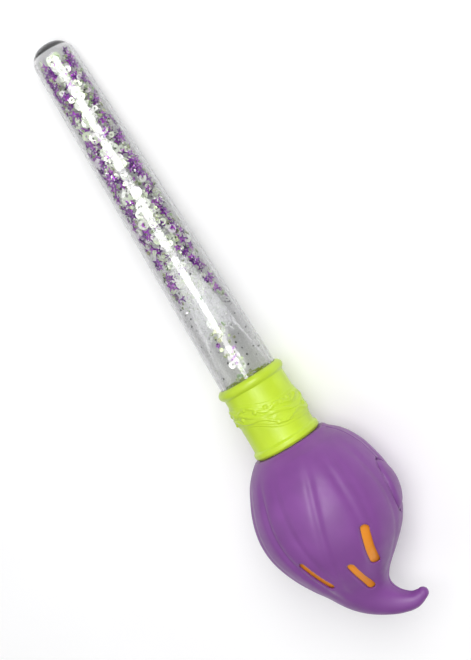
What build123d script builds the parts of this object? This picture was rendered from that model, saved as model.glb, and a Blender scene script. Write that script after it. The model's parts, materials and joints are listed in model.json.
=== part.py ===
from build123d import *
from math import asin, atan2, cos, degrees, pi, sin
import os

# Light-and-sound toy wand shaped like a paintbrush: a clear tube of loose confetti, a vine-banded
# ferrule, and a hollow onion-shaped head with a curled tail, which holds the electronics.
#
# The wand lies on a table as it rests by itself: the head and the tube's tip touch the plane Z = 0,
# the tube points to -X, the tail curls to +Y, and the front, with the sound slots, faces up.
#
# Sizes are in millimetres, in the wand's own directions: s runs along its axis from the tube's tip
# to the tail, w runs towards the side that the tail curls to, and h runs towards the front.

os.makedirs("parts", exist_ok=True)

# ---------------------------------------------------------------- driving dimensions

# how the wand lies
TIP_X = -154.77
AXIS_Y = 0.3
TIP_HEIGHT = 9.38
TILT = asin(0.1031)

# clear tube
TIP_RADIUS = 10.1
BASE_RADIUS = 14.4
BASE_S = 178.0
DOME_RADIUS = 9.0
TUBE_END_S = 221.0
FLANGE_RADIUS = 16.4
FLANGE_THICKNESS = 2.0
BORE_TIP_RADIUS = 8.9
BORE_BASE_RADIUS = 13.1
BORE_END_S = 2.5
BORE_CORNER = 4.2

# plug and seal of the tube
PLUG_RADIUS = 12.95
PLUG_LENGTH = 9.0
PLUG_FLANGE = 1.6
SEAL_S = 215.5
SEAL_SIZE = 0.9
SEAL_RADIUS = 12.1

# loose confetti
STAR_RADIUS = 2.1
STAR_INNER = 0.42
SEQUIN_RADIUS = 1.9
SEQUIN_HOLE = 0.4
FLAKE_RADIUS = 1.1
FLAKE_THICKNESS = 0.25
GOLDEN_TURN = 137.5

# ferrule
FERRULE_START_S = 178.4
FERRULE_END_S = 215.0
FERRULE_BORE = 14.5
FERRULE_NECK_RADIUS = 15.4
FERRULE_SKIRT_RADIUS = 16.0
TOP_BEAD = (180.9, 14.5, 2.5)
BOTTOM_BEAD = (212.9, 15.0, 2.1)
VINE_RADIUS = 16.9
VINE_EDGES = ((191.0, 9.0), (201.3, 14.5))

# head: w, s, heading along w and s, radius of round sections from the neck to the tail's tip
HEAD_START_S = 215.3
WALL = 2.4
HEAD_SECTIONS = (
    (0.0, HEAD_START_S, 0, 1, 18.8),
    (0.0, 221.5, 0, 1, 24.9),
    (0.0, 229.0, 0, 1, 29.6),
    (-0.6, 239.0, 0, 1, 33.4),
    (-0.9, 249.0, 0, 1, 35.2),
    (-1.1, 258.0, 0, 1, 34.6),
    (-1.3, 266.0, 0, 1, 32.2),
    (-2.0, 273.5, 0, 1, 28.3),
    (-3.6, 281.0, 0, 1, 22.6),
    (-5.2, 287.5, 0, 1, 16.9),
    (-4.8, 293.0, 0.12, 1, 13.2),
    (-2.5, 297.6, 0.35, 1, 10.4),
    (2.1, 302.2, 0.62, 0.8, 7.6),
    (8.4, 306.0, 0.84, 0.5, 5.4),
    (13.7, 307.2, 0.98, 0.1, 4.1),
    (18.1, 306.1, 0.92, -0.4, 2.9),
)
CAVITY_START_S = 225.0
CAVITY_END_S = 292.0

# neck, which traps the flanges of the tube and the plug
NECK_BORE = 14.6
GROOVE_RADIUS = 16.6
GROOVE_START_S = 218.9
GROOVE_END_S = 223.0
LIGHT_HOLE_RADIUS = 11.5

# sound slots: s and w of both ends, width
SLOTS = (
    ((262.3, -15.2), (280.9, -10.6), 3.2),
    ((273.4, 4.0), (291.1, 2.4), 3.5),
    ((260.5, 19.7), (280.4, 11.9), 3.9),
)

# battery box and its door, at the back
POCKET_START_S = 230.0
POCKET_END_S = 276.8
POCKET_WIDTH = 34.6
POCKET_FLOOR_H = -8.2
POCKET_FLOOR = 1.5
POCKET_WALL = 2.6
DOOR_LAP = 1.2
DOOR_CORNER = 3.0
DOOR_GAP = 0.3
DOOR_SEAT = 2.6
DOOR_THICKNESS = 2.2
TONGUE_W = -4.0
TONGUE_WIDTH = 10.0
TONGUE_END_S = 286.0
TONGUE_FLOOR_H = -17.5
DOOR_SCREW_S = 282.0
DOOR_SCREW_SEAT_H = -19.4
DOOR_SCREW_LENGTH = 8.6
SEAT_BLOCK_H = -9.0
TAB_SLOT_WIDTH = 4.4
TAB_SLOT_LENGTH = 0.8

# side button
BUTTON_S = 254.0
BUTTON_LENGTH = 26.0
BUTTON_WIDTH = 13.6
CROWN_RADIUS = 25.9
CROWN_S = 251.9
CROWN_W = 9.7
BUTTON_SHELL = 1.8
BUTTON_GAP = 0.4
BUTTON_FLANGE = 1.4
BUTTON_SKIRT_W = 25.0
FLANGE_TOP_W = 26.2
STEM_RADIUS = 2.0
STEM_END_W = 21.3

# switch under the button
SWITCH_S = BUTTON_S
SWITCH_START_W = 12.0
SWITCH_FACE_W = 19.5
SWITCH_WIDTH = 8.0
SWITCH_DEPTH = 6.0
PLUNGER_RADIUS = 1.5
PLUNGER_FACE_W = 21.0
PLUNGER_START_W = 16.5
PLUNGER_BORE_W = 14.6
RUNNING_GAP = 0.08
COLLAR_RADIUS = 3.8
COLLAR_START_W = 23.8
SPRING_RADIUS = 3.0
SPRING_WIRE = 0.3
SPRING_PITCH = 1.1

# screws
BOSS_RADIUS = 3.1
BOSSES = ((231.0, -22.0), (231.0, 22.0), (277.0, -21.5))
TAIL_BOSS = (297.6, -2.0)
SCREW_GROUPS = ((BOSSES, -6.0, 13.0), ((TAIL_BOSS,), -4.0, 9.0))  # places, seat h, length
SCREW_RADIUS = 1.2
SCREW_HOLE_GAP = 0.08
SCREW_HEAD_RADIUS = 2.3
SCREW_HEAD_HEIGHT = 1.8
RECESS_RADIUS = 2.6
CROSS_LENGTH = 2.6
CROSS_WIDTH = 0.6
CROSS_DEPTH = 1.0

# circuit board
BOARD_START_S = 228.5
BOARD_END_S = 259.0
BOARD_WIDTH = 32.0
BOARD_FRONT_H = 5.0
BOARD_THICKNESS = 1.6
POSTS = ((236.0, -12.5), (236.0, 12.5))
POST_RADIUS = 2.4
PIN_RADIUS = 1.0
CHIP = (242.0, -3.0, 10.0, 7.0, 1.4)
SMALL_PARTS = ((233.0, 0.0), (233.0, 4.0), (251.0, -10.0), (251.0, -6.0), (247.0, 7.0))

# light board
LIGHT_BOARD_S = CAVITY_START_S
LIGHT_BOARD_RADIUS = 14.0
LIGHT_BOARD_THICKNESS = 1.2
LED_SIZE = 3.5
LED_HEIGHT = 1.4
LED_CIRCLE = 6.0
LED_COUNT = 3

# speaker and the cup over it
SPEAKER_S = 269.0
SPEAKER_W = -1.0
SPEAKER_FRONT_H = 12.0
SPEAKER_RADIUS = 13.5
SPEAKER_RIM = 1.0
BASKET_RADIUS = 11.6
BASKET_DEPTH = 5.5
BASKET_WALL = 0.8
CONE_WALL = 0.4
DUST_CAP_RADIUS = 3.5
MAGNET_RADIUS = 6.5
MAGNET_HEIGHT = 4.5
CUP_GAP = 0.5
CUP_WALL = 1.4
CUP_S = 270.5
CUP_W = 1.5
CUP_LENGTH = 41.0
CUP_WIDTH = 46.0
CUP_BASE_H = 7.0

# battery cells and contacts
CELL_RADIUS = 5.25
CELL_LENGTH = 43.5
CELL_PITCH = 11.2
CELL_H = -13.6
CELL_START_S = 231.5
CELL_SHIFT = 0.3
NUB_RADIUS = 1.9
NUB_LENGTH = 0.9
PLATE_SIZE = 6.5
PLATE_THICKNESS = 0.4
PLATE_STARTS = (230.1, 276.3)
TAB_WIDTH = 4.0
TAB_TOP_H = -5.4
COIL_RADII = (3.2, 2.4)
COIL_WIRE = 0.2
WIRE_RADIUS = 0.5

# ---------------------------------------------------------------- planes of the wand

wand = Plane(origin=(TIP_X, AXIS_Y, TIP_HEIGHT), x_dir=(0, 1, 0), z_dir=(cos(TILT), 0, sin(TILT)))
wand_axis = Axis(wand.origin, wand.z_dir)
top = Plane(origin=wand.origin, x_dir=wand.z_dir, z_dir=wand.y_dir)  # sketches in s, w; faces h
side = Plane(origin=wand.origin, x_dir=wand.z_dir, z_dir=wand.x_dir)  # sketches in s, -h; faces w


def place(w, h, s):
    """The point at w, h, s as a global point."""
    return wand.from_local_coords(Vector(w, h, s))


def head_section_at(s):
    """Centre w and radius of the upright head section at s."""
    upright = [section for section in HEAD_SECTIONS if section[2] == 0]
    for (w_a, s_a, _, _, r_a), (w_b, s_b, _, _, r_b) in zip(upright, upright[1:]):
        if s_a <= s <= s_b:
            share = (s - s_a) / (s_b - s_a)
            return w_a + (w_b - w_a) * share, r_a + (r_b - r_a) * share
    last = upright[-1]
    share = s - last[1]
    return last[0], last[4] - share * 0.7


def head_body(inset, start=HEAD_START_S, end=None):
    """Round body of the head, inset mm inside its surface, from one s to another."""
    sections = [section for section in HEAD_SECTIONS if section[1] > start or start == HEAD_START_S]
    if start != HEAD_START_S:
        w, radius = head_section_at(start)
        sections.insert(0, (w, start, 0, 1, radius))
    if end is not None:
        w, radius = head_section_at(end)
        sections = [section for section in sections if section[1] < end and section[2] == 0]
        sections.append((w, end, 0, 1, radius))
    with BuildPart() as body:
        for w, s, heading_w, heading_s, radius in sections:
            heading = wand.x_dir * heading_w + wand.z_dir * heading_s
            with BuildSketch(Plane(place(w, 0, s), x_dir=wand.y_dir, z_dir=heading)):
                Circle(radius - inset)
        loft()
        if end is None:
            tip_w, tip_s, _, _, tip_radius = sections[-1]
            with Locations(place(tip_w, 0, tip_s)):
                Sphere(tip_radius - inset)
    return body.part


def star(radius):
    """Corners of a five-pointed star."""
    reach = (radius, radius * STAR_INNER)
    return [(reach[i % 2] * cos(i * pi / 5), reach[i % 2] * sin(i * pi / 5)) for i in range(10)]


def bore_radius(s):
    """Radius of the tube's bore at s."""
    return BORE_TIP_RADIUS + (BORE_BASE_RADIUS - BORE_TIP_RADIUS) * min(s / BASE_S, 1)


def confetti_planes(count, start, end, depth, first_turn):
    """Planes that face out of the tube, depth mm inside its bore, spread evenly along a spiral."""
    planes = []
    for i in range(count):
        s = start + (end - start) * i / (count - 1)
        turn = (first_turn + i * GOLDEN_TURN) * pi / 180
        reach = bore_radius(s) - depth
        outward = wand.x_dir * cos(turn) + wand.y_dir * sin(turn)
        centre = place(reach * cos(turn), reach * sin(turn), s)
        planes.append(Plane(centre, x_dir=wand.z_dir, z_dir=outward))
    return planes


# ---------------------------------------------------------------- clear tube and its plug

with BuildPart() as wand_tube:
    with BuildSketch(top):
        with BuildLine():
            Polyline(
                (0, 0),
                (0, TIP_RADIUS),
                (BASE_S, BASE_RADIUS),
                (TUBE_END_S - FLANGE_THICKNESS, BASE_RADIUS),
                (TUBE_END_S - FLANGE_THICKNESS, FLANGE_RADIUS),
                (TUBE_END_S, FLANGE_RADIUS),
                (TUBE_END_S, BORE_BASE_RADIUS),
                (BASE_S, BORE_BASE_RADIUS),
                (BORE_END_S, BORE_TIP_RADIUS),
                (BORE_END_S, 0),
                close=True,
            )
        make_face()
    revolve(axis=wand_axis)
    fillet(wand_tube.edges().filter_by(GeomType.CIRCLE).sort_by(wand_axis)[0], DOME_RADIUS)
    fillet(wand_tube.edges().filter_by(GeomType.CIRCLE).sort_by(wand_axis)[1], BORE_CORNER)
wand_tube.part.label = "wand_tube"
export_step(wand_tube.part, "parts/wand_tube.step")

with BuildPart() as tube_plug:
    with BuildSketch(wand.offset(TUBE_END_S - PLUG_LENGTH)):
        Circle(PLUG_RADIUS)
    extrude(amount=PLUG_LENGTH)
    with BuildSketch(wand.offset(TUBE_END_S)):
        Circle(FLANGE_RADIUS)
    extrude(amount=PLUG_FLANGE)
    with BuildSketch(wand.offset(SEAL_S - SEAL_SIZE - RUNNING_GAP)):
        Circle(PLUG_RADIUS + 1)
        Circle(SEAL_RADIUS - SEAL_SIZE, mode=Mode.SUBTRACT)
    extrude(amount=2 * (SEAL_SIZE + RUNNING_GAP), mode=Mode.SUBTRACT)
tube_plug.part.label = "tube_plug"
export_step(tube_plug.part, "parts/tube_plug.step")

with BuildPart(wand.offset(SEAL_S)) as plug_seal:
    Torus(SEAL_RADIUS, SEAL_SIZE)
plug_seal.part.label = "plug_seal"
export_step(plug_seal.part, "parts/plug_seal.step")

# ---------------------------------------------------------------- loose confetti, against the bore

with BuildPart() as star_confetti:
    with BuildSketch(*confetti_planes(30, 16, 135, 1.0, 0)):
        Polygon(*star(STAR_RADIUS), align=None)
    extrude(amount=FLAKE_THICKNESS)
star_confetti.part.label = "star_confetti"
export_step(star_confetti.part, "parts/star_confetti.step")

with BuildPart() as round_sequins:
    with BuildSketch(*confetti_planes(20, 14, 172, 2.2, 50)):
        Circle(SEQUIN_RADIUS)
        Circle(SEQUIN_HOLE, mode=Mode.SUBTRACT)
    extrude(amount=FLAKE_THICKNESS)
round_sequins.part.label = "round_sequins"
export_step(round_sequins.part, "parts/round_sequins.step")

with BuildPart() as hex_flakes:
    with BuildSketch(*confetti_planes(26, 15, 172, 3.2, 90)):
        RegularPolygon(FLAKE_RADIUS, 6)
    extrude(amount=FLAKE_THICKNESS)
hex_flakes.part.label = "hex_flakes"
export_step(hex_flakes.part, "parts/hex_flakes.step")

# ---------------------------------------------------------------- ferrule

with BuildPart() as vine_band:
    with BuildSketch(wand.offset(FERRULE_START_S + TOP_BEAD[2])):
        Circle(VINE_RADIUS)
        Circle(FERRULE_BORE + 0.4, mode=Mode.SUBTRACT)
    extrude(amount=BOTTOM_BEAD[0] - FERRULE_START_S - TOP_BEAD[2])
    for (edge_s, lean), keep in zip(VINE_EDGES, (Keep.TOP, Keep.BOTTOM)):
        split(bisect_by=wand.offset(edge_s).rotated((0, -lean, 0)), keep=keep)

with BuildPart() as ferrule:
    with BuildSketch(top):
        with BuildLine():
            Polyline(
                (FERRULE_START_S, FERRULE_BORE),
                (FERRULE_START_S, FERRULE_NECK_RADIUS),
                (FERRULE_END_S, FERRULE_SKIRT_RADIUS),
                (HEAD_START_S, FERRULE_NECK_RADIUS),
                (HEAD_START_S, FERRULE_BORE),
                close=True,
            )
        make_face()
        for bead_s, bead_reach, bead_size in (TOP_BEAD, BOTTOM_BEAD):
            with Locations((bead_s, bead_reach)):
                Circle(bead_size)
        Rectangle(HEAD_START_S, FERRULE_BORE, align=Align.MIN, mode=Mode.SUBTRACT)
    revolve(axis=wand_axis)
    add(vine_band.part)
ferrule.part.label = "ferrule"
export_step(ferrule.part, "parts/ferrule.step")

# ---------------------------------------------------------------- what both shells are cut from

head_outside = head_body(0)
head_inside = head_body(WALL, CAVITY_START_S, CAVITY_END_S)
under_skin = head_body(DOOR_SEAT)

with BuildPart() as neck_bore:
    with BuildSketch(wand.offset(HEAD_START_S - 1)):
        Circle(NECK_BORE)
    extrude(amount=GROOVE_START_S - HEAD_START_S + 1)
    with BuildSketch(wand.offset(GROOVE_START_S)):
        Circle(GROOVE_RADIUS)
    extrude(amount=GROOVE_END_S - GROOVE_START_S)
    with BuildSketch(wand.offset(GROOVE_END_S)):
        Circle(LIGHT_HOLE_RADIUS)
    extrude(amount=CAVITY_START_S - GROOVE_END_S + 1)

with BuildPart() as button_hole:
    with BuildSketch(side.offset(BUTTON_SKIRT_W)):
        with Locations((BUTTON_S, 0)):
            Ellipse(BUTTON_LENGTH / 2 + BUTTON_GAP, BUTTON_WIDTH / 2 + BUTTON_GAP)
    extrude(amount=CROWN_RADIUS)

# ---------------------------------------------------------------- front shell

with BuildPart() as front_room:
    add(head_inside)
    with BuildSketch(top):
        with Locations(*BOSSES):
            Circle(BOSS_RADIUS)
    extrude(amount=CROWN_RADIUS * 2, mode=Mode.SUBTRACT)
    with BuildSketch(top.offset(BOARD_FRONT_H)):
        with Locations(*POSTS):
            Circle(POST_RADIUS)
    extrude(amount=CROWN_RADIUS * 2, mode=Mode.SUBTRACT)
    with BuildSketch(top.offset(BOARD_FRONT_H - BOARD_THICKNESS - PIN_RADIUS)):
        with Locations(*POSTS):
            Circle(PIN_RADIUS)
    extrude(amount=CROWN_RADIUS * 2, mode=Mode.SUBTRACT)

with BuildPart() as front_shell:
    add(head_outside)
    split(bisect_by=top, keep=Keep.TOP)
    add(front_room.part, mode=Mode.SUBTRACT)
    add(neck_bore.part, mode=Mode.SUBTRACT)
    add(button_hole.part, mode=Mode.SUBTRACT)
    for (start_s, start_w), (end_s, end_w), width in SLOTS:
        middle = ((start_s + end_s) / 2, (start_w + end_w) / 2)
        run = Vector(end_s - start_s, end_w - start_w)
        turn = degrees(atan2(run.Y, run.X))
        with BuildSketch(top.offset(CUP_BASE_H)):
            with Locations(middle):
                SlotCenterToCenter(run.length - width, width, rotation=turn)
        extrude(amount=CROWN_RADIUS * 2, mode=Mode.SUBTRACT)
    for places, seat_h, length in SCREW_GROUPS:
        with BuildSketch(top):
            with Locations(*places):
                Circle(SCREW_RADIUS + SCREW_HOLE_GAP)
        extrude(amount=seat_h + length + SCREW_HOLE_GAP, mode=Mode.SUBTRACT)
front_shell.part.label = "front_shell"
export_step(front_shell.part, "parts/front_shell.step")

# ---------------------------------------------------------------- back shell and battery door

pocket_middle = (POCKET_START_S + POCKET_END_S) / 2
pocket_length = POCKET_END_S - POCKET_START_S


def door_outline(gap):
    """Sketches the door's outline, gap mm larger all round, on the plane in use."""
    with Locations((pocket_middle, 0)):
        RectangleRounded(
            pocket_length + 2 * (DOOR_LAP + gap), POCKET_WIDTH + 2 * (DOOR_LAP + gap), DOOR_CORNER + gap
        )


def tongue_outline(gap):
    """Sketches the tongue that holds the door's screw, gap mm larger all round."""
    with Locations((POCKET_END_S, TONGUE_W)):
        Rectangle(
            TONGUE_END_S - POCKET_END_S + gap, TONGUE_WIDTH + 2 * gap, align=(Align.MIN, Align.CENTER)
        )


with BuildPart() as back_room:
    add(head_inside)
    with BuildSketch(top.offset(BOSS_RADIUS)):
        with Locations(*BOSSES):
            Circle(BOSS_RADIUS)
    extrude(amount=-CROWN_RADIUS * 2, mode=Mode.SUBTRACT)
    with BuildSketch(top.offset(POCKET_FLOOR_H + POCKET_FLOOR)):
        with Locations((pocket_middle, 0)):
            Rectangle(pocket_length + 2 * POCKET_WALL, POCKET_WIDTH + 2 * POCKET_WALL)
    extrude(amount=-CROWN_RADIUS * 2, mode=Mode.SUBTRACT)
    with BuildSketch(top.offset(SEAT_BLOCK_H)):
        with Locations((POCKET_END_S, TONGUE_W)):
            Rectangle(
                TONGUE_END_S - POCKET_END_S + POCKET_WALL, TONGUE_WIDTH + 2 * POCKET_WALL,
                align=(Align.MIN, Align.CENTER),
            )
    extrude(amount=-CROWN_RADIUS * 2, mode=Mode.SUBTRACT)

with BuildPart() as door_recess:
    with BuildSketch(top.offset(POCKET_FLOOR_H)):
        door_outline(DOOR_GAP)
    extrude(amount=-CROWN_RADIUS * 2)
    add(under_skin, mode=Mode.SUBTRACT)
    with BuildSketch(top.offset(TONGUE_FLOOR_H)):
        tongue_outline(DOOR_GAP)
    extrude(amount=-CROWN_RADIUS * 2)

with BuildPart() as back_shell:
    add(head_outside)
    split(bisect_by=top, keep=Keep.BOTTOM)
    add(back_room.part, mode=Mode.SUBTRACT)
    add(neck_bore.part, mode=Mode.SUBTRACT)
    add(button_hole.part, mode=Mode.SUBTRACT)
    add(door_recess.part, mode=Mode.SUBTRACT)
    with BuildSketch(top.offset(POCKET_FLOOR_H)):
        with Locations((pocket_middle, 0)):
            Rectangle(pocket_length, POCKET_WIDTH)
    extrude(amount=-CROWN_RADIUS * 2, mode=Mode.SUBTRACT)
    for places, seat_h, _ in SCREW_GROUPS:
        with BuildSketch(top.offset(seat_h)):
            with Locations(*places):
                Circle(RECESS_RADIUS)
        extrude(amount=-CROWN_RADIUS * 2, mode=Mode.SUBTRACT)
        with BuildSketch(top):
            with Locations(*places):
                Circle(SCREW_RADIUS + SCREW_HOLE_GAP)
        extrude(amount=seat_h, mode=Mode.SUBTRACT)
    with BuildSketch(top.offset(SEAT_BLOCK_H - 1)):
        with Locations((DOOR_SCREW_S, TONGUE_W)):
            Circle(SCREW_RADIUS + SCREW_HOLE_GAP)
    extrude(amount=-CROWN_RADIUS * 2, mode=Mode.SUBTRACT)
    with BuildSketch(top.offset(POCKET_FLOOR_H)):
        with Locations((POCKET_START_S, -CELL_PITCH), (POCKET_START_S, CELL_PITCH)):
            Rectangle(TAB_SLOT_LENGTH, TAB_SLOT_WIDTH, align=(Align.MIN, Align.CENTER))
    extrude(amount=POCKET_FLOOR, mode=Mode.SUBTRACT)
back_shell.part.label = "back_shell"
export_step(back_shell.part, "parts/back_shell.step")

with BuildPart() as battery_door:
    with BuildSketch(top.offset(POCKET_FLOOR_H)):
        door_outline(0)
    extrude(amount=-CROWN_RADIUS * 2)
    add(head_body(DOOR_THICKNESS), mode=Mode.SUBTRACT)
    with BuildSketch(top.offset(TONGUE_FLOOR_H - DOOR_GAP)):
        tongue_outline(0)
    extrude(amount=-CROWN_RADIUS * 2)
    add(head_outside, mode=Mode.INTERSECT)
    with BuildSketch(top.offset(DOOR_SCREW_SEAT_H)):
        with Locations((DOOR_SCREW_S, TONGUE_W)):
            Circle(RECESS_RADIUS)
    extrude(amount=-CROWN_RADIUS, mode=Mode.SUBTRACT)
    with BuildSketch(top.offset(SEAT_BLOCK_H)):
        with Locations((DOOR_SCREW_S, TONGUE_W)):
            Circle(SCREW_RADIUS + SCREW_HOLE_GAP)
    extrude(amount=-CROWN_RADIUS, mode=Mode.SUBTRACT)
battery_door.part.label = "battery_door"
export_step(battery_door.part, "parts/battery_door.step")

# ---------------------------------------------------------------- screws, driven from the back


def cross_head_screws(places, seat_h, length):
    """Cross-head screws with their heads' inner faces at seat_h, as one part."""
    with BuildPart() as made:
        with BuildSketch(top.offset(seat_h)):
            with Locations(*places):
                Circle(SCREW_RADIUS)
        extrude(amount=length)
        with BuildSketch(top.offset(seat_h)):
            with Locations(*places):
                Circle(SCREW_HEAD_RADIUS)
        extrude(amount=-SCREW_HEAD_HEIGHT)
        with BuildSketch(top.offset(seat_h - SCREW_HEAD_HEIGHT)):
            with Locations(*places):
                Rectangle(CROSS_LENGTH, CROSS_WIDTH)
                Rectangle(CROSS_WIDTH, CROSS_LENGTH)
        extrude(amount=CROSS_DEPTH, mode=Mode.SUBTRACT)
    return made.part


with BuildPart() as shell_screws:
    for places, seat_h, length in SCREW_GROUPS:
        add(cross_head_screws(places, seat_h, length))
shell_screws.part.label = "shell_screws"
export_step(shell_screws.part, "parts/shell_screws.step")

with BuildPart() as door_screw:
    add(cross_head_screws(((DOOR_SCREW_S, TONGUE_W),), DOOR_SCREW_SEAT_H - SCREW_HOLE_GAP, DOOR_SCREW_LENGTH))
door_screw.part.label = "door_screw"
export_step(door_screw.part, "parts/door_screw.step")

# ---------------------------------------------------------------- side button and its switch

with BuildPart() as side_button:
    with BuildSketch(side.offset(BUTTON_SKIRT_W)):
        with Locations((BUTTON_S, 0)):
            Ellipse(BUTTON_LENGTH / 2, BUTTON_WIDTH / 2)
    extrude(amount=CROWN_RADIUS)
    with Locations(place(CROWN_W, 0, CROWN_S)):
        Sphere(CROWN_RADIUS, mode=Mode.INTERSECT)

with BuildPart() as button_hollow:
    with BuildSketch(side.offset(BUTTON_SKIRT_W)):
        with Locations((BUTTON_S, 0)):
            Ellipse(BUTTON_LENGTH / 2 - BUTTON_SHELL, BUTTON_WIDTH / 2 - BUTTON_SHELL)
    extrude(amount=CROWN_RADIUS)
    with Locations(place(CROWN_W, 0, CROWN_S)):
        Sphere(CROWN_RADIUS - BUTTON_SHELL, mode=Mode.INTERSECT)
    with BuildSketch(side.offset(BUTTON_SKIRT_W)):
        with Locations((BUTTON_S, 0)):
            Circle(STEM_RADIUS)
    extrude(amount=CROWN_RADIUS, mode=Mode.SUBTRACT)

with side_button:
    add(button_hollow.part, mode=Mode.SUBTRACT)
    with BuildSketch(side.offset(BUTTON_SKIRT_W)):
        with Locations((BUTTON_S, 0)):
            Ellipse(BUTTON_LENGTH / 2 + BUTTON_FLANGE, BUTTON_WIDTH / 2 + BUTTON_FLANGE)
            Ellipse(
                BUTTON_LENGTH / 2 - BUTTON_SHELL, BUTTON_WIDTH / 2 - BUTTON_SHELL, mode=Mode.SUBTRACT
            )
    extrude(amount=FLANGE_TOP_W - BUTTON_SKIRT_W)
    with BuildSketch(side.offset(STEM_END_W)):
        with Locations((BUTTON_S, 0)):
            Circle(STEM_RADIUS)
    extrude(amount=CROWN_W + CROWN_RADIUS - STEM_END_W - BUTTON_SHELL / 2)
    with BuildSketch(side.offset(COLLAR_START_W)):
        with Locations((BUTTON_S, 0)):
            Circle(COLLAR_RADIUS)
    extrude(amount=BUTTON_SHELL / 2)
side_button.part.label = "side_button"
export_step(side_button.part, "parts/side_button.step")

spring_height = COLLAR_START_W - SWITCH_FACE_W - 2 * (SPRING_WIRE + RUNNING_GAP)
with BuildPart() as return_spring:
    with BuildLine():
        coil = Helix(
            SPRING_PITCH, spring_height, SPRING_RADIUS,
            center=place(SWITCH_FACE_W + SPRING_WIRE + RUNNING_GAP, 0, SWITCH_S), direction=wand.x_dir,
        )
    with BuildSketch(Plane(coil @ 0, z_dir=coil % 0)):
        Circle(SPRING_WIRE)
    sweep(is_frenet=True)
return_spring.part.label = "return_spring"
export_step(return_spring.part, "parts/return_spring.step")

board_back_h = BOARD_FRONT_H - BOARD_THICKNESS
with BuildPart() as switch_body:
    with BuildSketch(side.offset(SWITCH_START_W)):
        with Locations((SWITCH_S, -board_back_h)):
            Rectangle(SWITCH_WIDTH, SWITCH_DEPTH, align=(Align.CENTER, Align.MIN))
    extrude(amount=SWITCH_FACE_W - SWITCH_START_W)
    with BuildSketch(side.offset(PLUNGER_BORE_W)):
        with Locations((SWITCH_S, 0)):
            Circle(PLUNGER_RADIUS + RUNNING_GAP)
    extrude(amount=SWITCH_FACE_W - PLUNGER_BORE_W, mode=Mode.SUBTRACT)
switch_body.part.label = "switch_body"
export_step(switch_body.part, "parts/switch_body.step")

with BuildPart() as switch_plunger:
    with BuildSketch(side.offset(PLUNGER_START_W)):
        with Locations((SWITCH_S, 0)):
            Circle(PLUNGER_RADIUS)
    extrude(amount=PLUNGER_FACE_W - PLUNGER_START_W)
    chamfer(switch_plunger.faces().sort_by(Axis.Y)[-1].edges(), SPRING_WIRE)
switch_plunger.part.label = "switch_plunger"
export_step(switch_plunger.part, "parts/switch_plunger.step")

# ---------------------------------------------------------------- circuit board and light board

board_middle = (BOARD_START_S + BOARD_END_S) / 2
with BuildPart() as circuit_board:
    with BuildSketch(top.offset(board_back_h)):
        with Locations((board_middle, 0)):
            Rectangle(BOARD_END_S - BOARD_START_S, BOARD_WIDTH)
        with Locations(*POSTS):
            Circle(PIN_RADIUS + RUNNING_GAP, mode=Mode.SUBTRACT)
    extrude(amount=BOARD_THICKNESS)
circuit_board.part.label = "circuit_board"
export_step(circuit_board.part, "parts/circuit_board.step")

with BuildPart() as sound_chip:
    chip_s, chip_w, chip_length, chip_width, chip_height = CHIP
    with BuildSketch(top.offset(BOARD_FRONT_H)):
        with Locations((chip_s, chip_w)):
            Rectangle(chip_length, chip_width)
    extrude(amount=chip_height)
    chamfer(sound_chip.edges().group_by(Axis(wand.origin, wand.y_dir))[-1], RUNNING_GAP * 3)
sound_chip.part.label = "sound_chip"
export_step(sound_chip.part, "parts/sound_chip.step")

with BuildPart() as board_parts:
    with BuildSketch(top.offset(BOARD_FRONT_H)):
        with Locations(*SMALL_PARTS):
            Rectangle(2.0, 1.25)
    extrude(amount=0.9)
board_parts.part.label = "board_parts"
export_step(board_parts.part, "parts/board_parts.step")

with BuildPart() as light_board:
    with BuildSketch(wand.offset(LIGHT_BOARD_S)):
        Circle(LIGHT_BOARD_RADIUS)
    extrude(amount=LIGHT_BOARD_THICKNESS)
light_board.part.label = "light_board"
export_step(light_board.part, "parts/light_board.step")

with BuildPart() as leds:
    with BuildSketch(wand.offset(LIGHT_BOARD_S)):
        with PolarLocations(LED_CIRCLE, LED_COUNT):
            Rectangle(LED_SIZE, LED_SIZE)
    extrude(amount=-LED_HEIGHT)
leds.part.label = "leds"
export_step(leds.part, "parts/leds.step")

# ---------------------------------------------------------------- speaker and the cup over it

speaker_axis = Axis(place(SPEAKER_W, 0, SPEAKER_S), wand.y_dir)
speaker_plane = Plane(speaker_axis.position, x_dir=wand.z_dir, z_dir=-wand.x_dir)  # radius, h
basket_h = SPEAKER_FRONT_H - BASKET_DEPTH

with BuildPart() as speaker_frame:
    with BuildSketch(speaker_plane):
        with BuildLine():
            Polyline(
                (SPEAKER_RADIUS, SPEAKER_FRONT_H),
                (SPEAKER_RADIUS, SPEAKER_FRONT_H - SPEAKER_RIM),
                (BASKET_RADIUS, SPEAKER_FRONT_H - SPEAKER_RIM),
                (MAGNET_RADIUS, basket_h),
                (0, basket_h),
                (0, basket_h + BASKET_WALL),
                (MAGNET_RADIUS, basket_h + BASKET_WALL),
                (BASKET_RADIUS - BASKET_WALL, SPEAKER_FRONT_H - SPEAKER_RIM),
                (BASKET_RADIUS - BASKET_WALL, SPEAKER_FRONT_H),
                close=True,
            )
        make_face()
    revolve(axis=speaker_axis)
speaker_frame.part.label = "speaker_frame"
export_step(speaker_frame.part, "parts/speaker_frame.step")

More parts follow.
